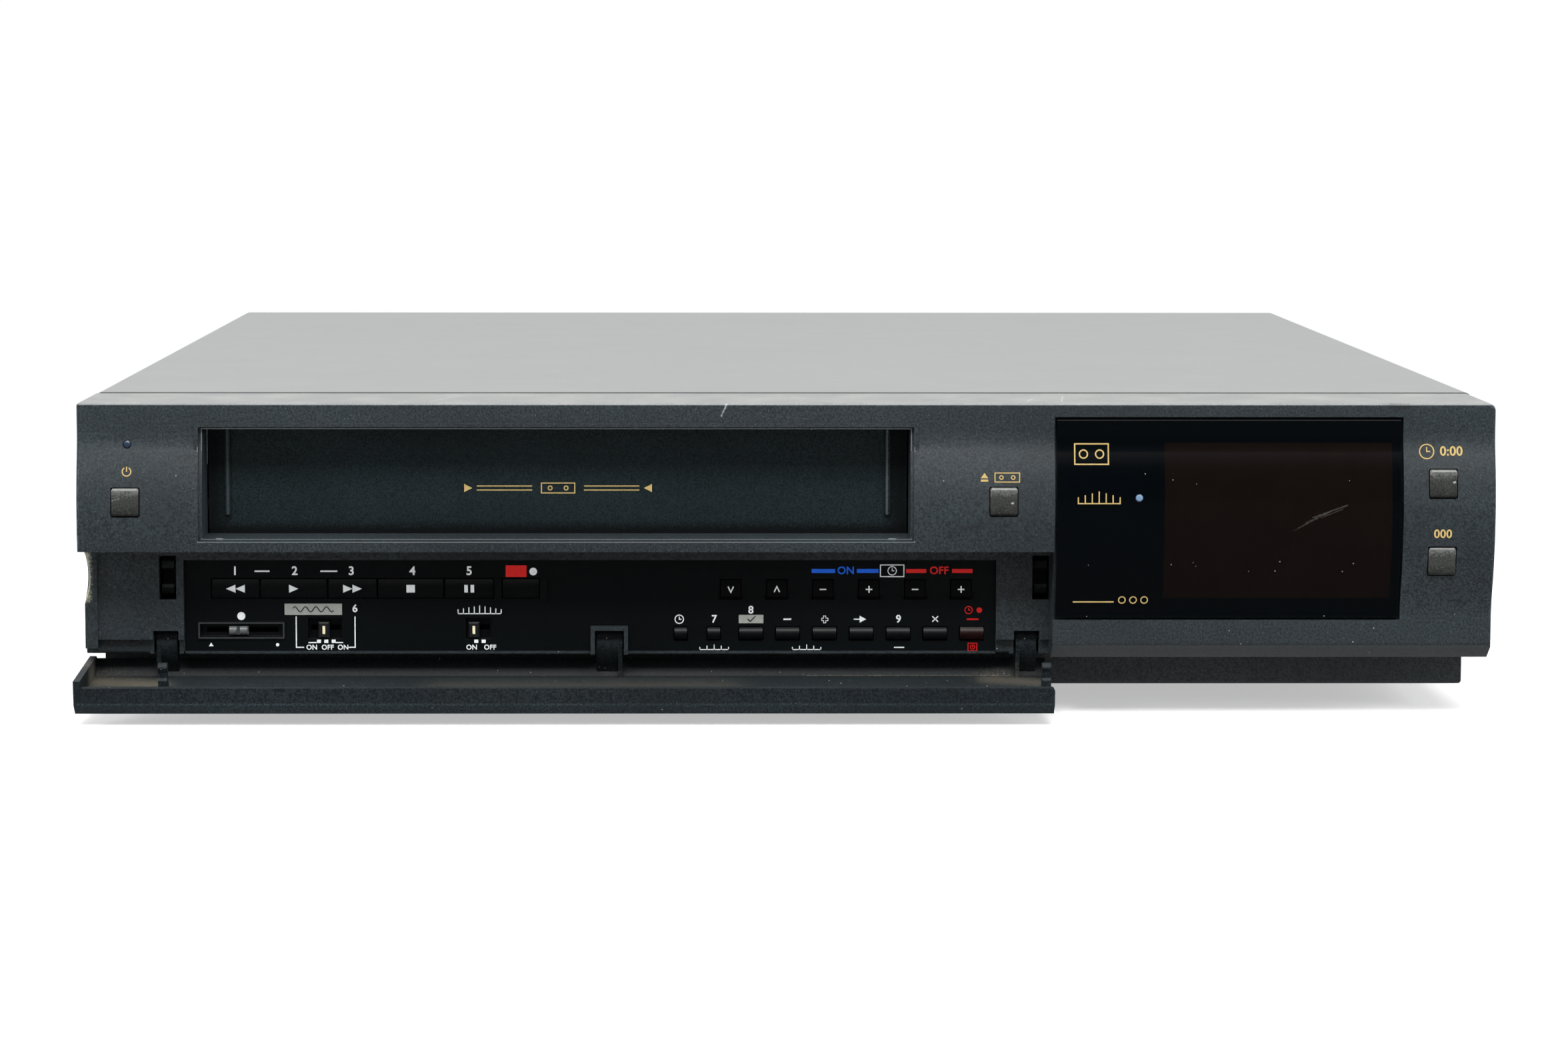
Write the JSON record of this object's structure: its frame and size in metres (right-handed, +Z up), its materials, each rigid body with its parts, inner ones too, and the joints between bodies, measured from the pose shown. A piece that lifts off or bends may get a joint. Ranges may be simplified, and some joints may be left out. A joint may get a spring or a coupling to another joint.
{
  "type": "video cassette recorder",
  "caption": "Front-loading video cassette recorder with a drop-down control door, a cassette flap, push keys and slide switches.",
  "frame": {"origin": "on the floor, under the middle of the bounding box, control door open", "axes": "+X to the right seen from the front, +Y to the back, +Z up"},
  "size_m": [0.38, 0.3654, 0.086],
  "materials": {
    "fascia": "fine moulded grain",
    "panel_black": "satin",
    "smoked_window": "polished",
    "tube_glass": "clear",
    "lamp_lens": "satin",
    "cover_paint": "fine textured paint",
    "chassis_plastic": "moulded",
    "rear_sheet": "satin paint",
    "foot_rubber": "matt",
    "screw_steel": "blackened",
    "board_laminate": "satin",
    "tinned_steel": "tinned",
    "socket_plastic": "moulded",
    "zinc_steel": "zinc plated",
    "drum_aluminium": "machined",
    "head_metal": "polished",
    "reel_plastic": "moulded",
    "flap_plastic": "satin",
    "knob_grey": "satin",
    "button_grey": "satin",
    "key_black": "satin"
  },
  "bodies": {
    "housing": {"front_panel": "fascia", "control_panel": "panel_black", "display_window": "smoked_window", "display_tube": "tube_glass", "power_lamp": "lamp_lens", "tracking_lamp": "lamp_lens", "door_latches": "panel_black", "top_cover": "cover_paint", "bottom_pan": "chassis_plastic", "rear_panel": "rear_sheet", "rubber_feet": "foot_rubber", "cover_screws": "screw_steel", "main_board": "board_laminate", "control_board": "board_laminate", "power_supply": "board_laminate", "tuner_box": "tinned_steel", "av_sockets": "socket_plastic", "mains_inlet": "socket_plastic", "deck_plate": "zinc_steel", "lower_drum": "drum_aluminium", "carriage_guides": "zinc_steel", "tape_heads": "head_metal", "loading_motor": "zinc_steel"},
    "control_door": {"control_door": "fascia"},
    "cassette_flap": {"cassette_flap": "flap_plastic"},
    "picture_slider": {"picture_slider": "knob_grey"},
    "filter_switch": {"filter_switch": "knob_grey"},
    "tracking_switch": {"tracking_switch": "knob_grey"},
    "cassette_carriage": {"cassette_carriage": "zinc_steel"},
    "upper_drum": {"upper_drum": "drum_aluminium"},
    "capstan_flywheel": {"capstan_flywheel": "drum_aluminium"},
    "supply_reel": {"supply_reel": "reel_plastic"},
    "takeup_reel": {"takeup_reel": "reel_plastic"},
    "pinch_arm": {"pinch_arm": "zinc_steel"},
    "power_button": {"power_button": "button_grey"},
    "eject_button": {"eject_button": "button_grey"},
    "counter_button": {"counter_button": "button_grey"},
    "reset_button": {"reset_button": "button_grey"},
    "rewind_key": {"rewind_key": "key_black"},
    "play_key": {"play_key": "key_black"},
    "forward_key": {"forward_key": "key_black"},
    "stop_key": {"stop_key": "key_black"},
    "pause_key": {"pause_key": "key_black"},
    "record_key": {"record_key": "key_black"},
    "channel_down_key": {"channel_down_key": "key_black"},
    "channel_up_key": {"channel_up_key": "key_black"},
    "on_minus_key": {"on_minus_key": "key_black"},
    "on_plus_key": {"on_plus_key": "key_black"},
    "off_minus_key": {"off_minus_key": "key_black"},
    "off_plus_key": {"off_plus_key": "key_black"},
    "clock_key": {"clock_key": "key_black"},
    "preset_key": {"preset_key": "key_black"},
    "program_key": {"program_key": "key_black"},
    "tracking_minus_key": {"tracking_minus_key": "key_black"},
    "tracking_plus_key": {"tracking_plus_key": "key_black"},
    "next_key": {"next_key": "key_black"},
    "tuning_key": {"tuning_key": "key_black"},
    "clear_key": {"clear_key": "key_black"},
    "timer_key": {"timer_key": "key_black"}
  },
  "joints": [
    {"name": "control_door_hinge", "type": "hinge", "parent": "housing", "child": "control_door", "pos_m": [0, -0.1583, 0.0204], "axis": [-1, 0, 0], "range_deg": [0, 95]},
    {"name": "cassette_flap_hinge", "type": "hinge", "parent": "housing", "child": "cassette_flap", "pos_m": [0, -0.1601, 0.0794], "axis": [1, 0, 0], "range_deg": [0, 90], "stiffness_Nm_per_rad": 0.02, "springref_deg": -17.19},
    {"name": "power_button_press", "type": "slide", "parent": "housing", "child": "power_button", "axis": [0, 1, 0], "range_m": [0, 0.0015], "stiffness_N_per_m": 600, "springref_m": -0.001},
    {"name": "eject_button_press", "type": "slide", "parent": "housing", "child": "eject_button", "axis": [0, 1, 0], "range_m": [0, 0.0015], "stiffness_N_per_m": 600, "springref_m": -0.001},
    {"name": "counter_button_press", "type": "slide", "parent": "housing", "child": "counter_button", "axis": [0, 1, 0], "range_m": [0, 0.0015], "stiffness_N_per_m": 600, "springref_m": -0.001},
    {"name": "reset_button_press", "type": "slide", "parent": "housing", "child": "reset_button", "axis": [0, 1, 0], "range_m": [0, 0.0015], "stiffness_N_per_m": 600, "springref_m": -0.001},
    {"name": "rewind_key_press", "type": "slide", "parent": "housing", "child": "rewind_key", "axis": [0, 1, 0], "range_m": [0, 0.0012], "stiffness_N_per_m": 600, "springref_m": -0.001},
    {"name": "play_key_press", "type": "slide", "parent": "housing", "child": "play_key", "axis": [0, 1, 0], "range_m": [0, 0.0012], "stiffness_N_per_m": 600, "springref_m": -0.001},
    {"name": "forward_key_press", "type": "slide", "parent": "housing", "child": "forward_key", "axis": [0, 1, 0], "range_m": [0, 0.0012], "stiffness_N_per_m": 600, "springref_m": -0.001},
    {"name": "stop_key_press", "type": "slide", "parent": "housing", "child": "stop_key", "axis": [0, 1, 0], "range_m": [0, 0.0012], "stiffness_N_per_m": 600, "springref_m": -0.001},
    {"name": "pause_key_press", "type": "slide", "parent": "housing", "child": "pause_key", "axis": [0, 1, 0], "range_m": [0, 0.0012], "stiffness_N_per_m": 600, "springref_m": -0.001},
    {"name": "record_key_press", "type": "slide", "parent": "housing", "child": "record_key", "axis": [0, 1, 0], "range_m": [0, 0.0012], "stiffness_N_per_m": 600, "springref_m": -0.001},
    {"name": "channel_down_key_press", "type": "slide", "parent": "housing", "child": "channel_down_key", "axis": [0, 1, 0], "range_m": [0, 0.0012], "stiffness_N_per_m": 600, "springref_m": -0.001},
    {"name": "channel_up_key_press", "type": "slide", "parent": "housing", "child": "channel_up_key", "axis": [0, 1, 0], "range_m": [0, 0.0012], "stiffness_N_per_m": 600, "springref_m": -0.001},
    {"name": "on_minus_key_press", "type": "slide", "parent": "housing", "child": "on_minus_key", "axis": [0, 1, 0], "range_m": [0, 0.0012], "stiffness_N_per_m": 600, "springref_m": -0.001},
    {"name": "on_plus_key_press", "type": "slide", "parent": "housing", "child": "on_plus_key", "axis": [0, 1, 0], "range_m": [0, 0.0012], "stiffness_N_per_m": 600, "springref_m": -0.001},
    {"name": "off_minus_key_press", "type": "slide", "parent": "housing", "child": "off_minus_key", "axis": [0, 1, 0], "range_m": [0, 0.0012], "stiffness_N_per_m": 600, "springref_m": -0.001},
    {"name": "off_plus_key_press", "type": "slide", "parent": "housing", "child": "off_plus_key", "axis": [0, 1, 0], "range_m": [0, 0.0012], "stiffness_N_per_m": 600, "springref_m": -0.001},
    {"name": "clock_key_press", "type": "slide", "parent": "housing", "child": "clock_key", "axis": [0, 1, 0], "range_m": [0, 0.0012], "stiffness_N_per_m": 600, "springref_m": -0.001},
    {"name": "preset_key_press", "type": "slide", "parent": "housing", "child": "preset_key", "axis": [0, 1, 0], "range_m": [0, 0.0012], "stiffness_N_per_m": 600, "springref_m": -0.001},
    {"name": "program_key_press", "type": "slide", "parent": "housing", "child": "program_key", "axis": [0, 1, 0], "range_m": [0, 0.0012], "stiffness_N_per_m": 600, "springref_m": -0.001},
    {"name": "tracking_minus_key_press", "type": "slide", "parent": "housing", "child": "tracking_minus_key", "axis": [0, 1, 0], "range_m": [0, 0.0012], "stiffness_N_per_m": 600, "springref_m": -0.001},
    {"name": "tracking_plus_key_press", "type": "slide", "parent": "housing", "child": "tracking_plus_key", "axis": [0, 1, 0], "range_m": [0, 0.0012], "stiffness_N_per_m": 600, "springref_m": -0.001},
    {"name": "next_key_press", "type": "slide", "parent": "housing", "child": "next_key", "axis": [0, 1, 0], "range_m": [0, 0.0012], "stiffness_N_per_m": 600, "springref_m": -0.001},
    {"name": "tuning_key_press", "type": "slide", "parent": "housing", "child": "tuning_key", "axis": [0, 1, 0], "range_m": [0, 0.0012], "stiffness_N_per_m": 600, "springref_m": -0.001},
    {"name": "clear_key_press", "type": "slide", "parent": "housing", "child": "clear_key", "axis": [0, 1, 0], "range_m": [0, 0.0012], "stiffness_N_per_m": 600, "springref_m": -0.001},
    {"name": "timer_key_press", "type": "slide", "parent": "housing", "child": "timer_key", "axis": [0, 1, 0], "range_m": [0, 0.0012], "stiffness_N_per_m": 600, "springref_m": -0.001},
    {"name": "picture_slider_slide", "type": "slide", "parent": "housing", "child": "picture_slider", "axis": [1, 0, 0], "range_m": [-0.007, 0.0085]},
    {"name": "filter_switch_slide", "type": "slide", "parent": "housing", "child": "filter_switch", "axis": [1, 0, 0], "range_m": [-0.0026, 0.0032]},
    {"name": "tracking_switch_slide", "type": "slide", "parent": "housing", "child": "tracking_switch", "axis": [1, 0, 0], "range_m": [0, 0.003]},
    {"name": "cassette_carriage_slide", "type": "slide", "parent": "housing", "child": "cassette_carriage", "axis": [0, 1, 0], "range_m": [0, 0.052]},
    {"name": "upper_drum_spin", "type": "hinge", "parent": "housing", "child": "upper_drum", "pos_m": [-0.0677, 0.07349, 0.05284], "axis": [0, 0.1028, 0.9947], "continuous": true},
    {"name": "capstan_flywheel_spin", "type": "hinge", "parent": "housing", "child": "capstan_flywheel", "pos_m": [-0.0097, 0.0353, 0.014], "axis": [0, 0, 1], "continuous": true},
    {"name": "supply_reel_spin", "type": "hinge", "parent": "housing", "child": "supply_reel", "pos_m": [-0.1077, -0.0337, 0.028], "axis": [0, 0, 1], "continuous": true},
    {"name": "takeup_reel_spin", "type": "hinge", "parent": "housing", "child": "takeup_reel", "pos_m": [-0.0157, -0.0337, 0.028], "axis": [0, 0, 1], "continuous": true},
    {"name": "pinch_arm_hinge", "type": "hinge", "parent": "housing", "child": "pinch_arm", "pos_m": [0.0143, 0.0433, 0.03], "axis": [0, 0, -1], "range_deg": [0, 22.5], "stiffness_Nm_per_rad": 0.02, "springref_deg": -11.46}
  ]
}
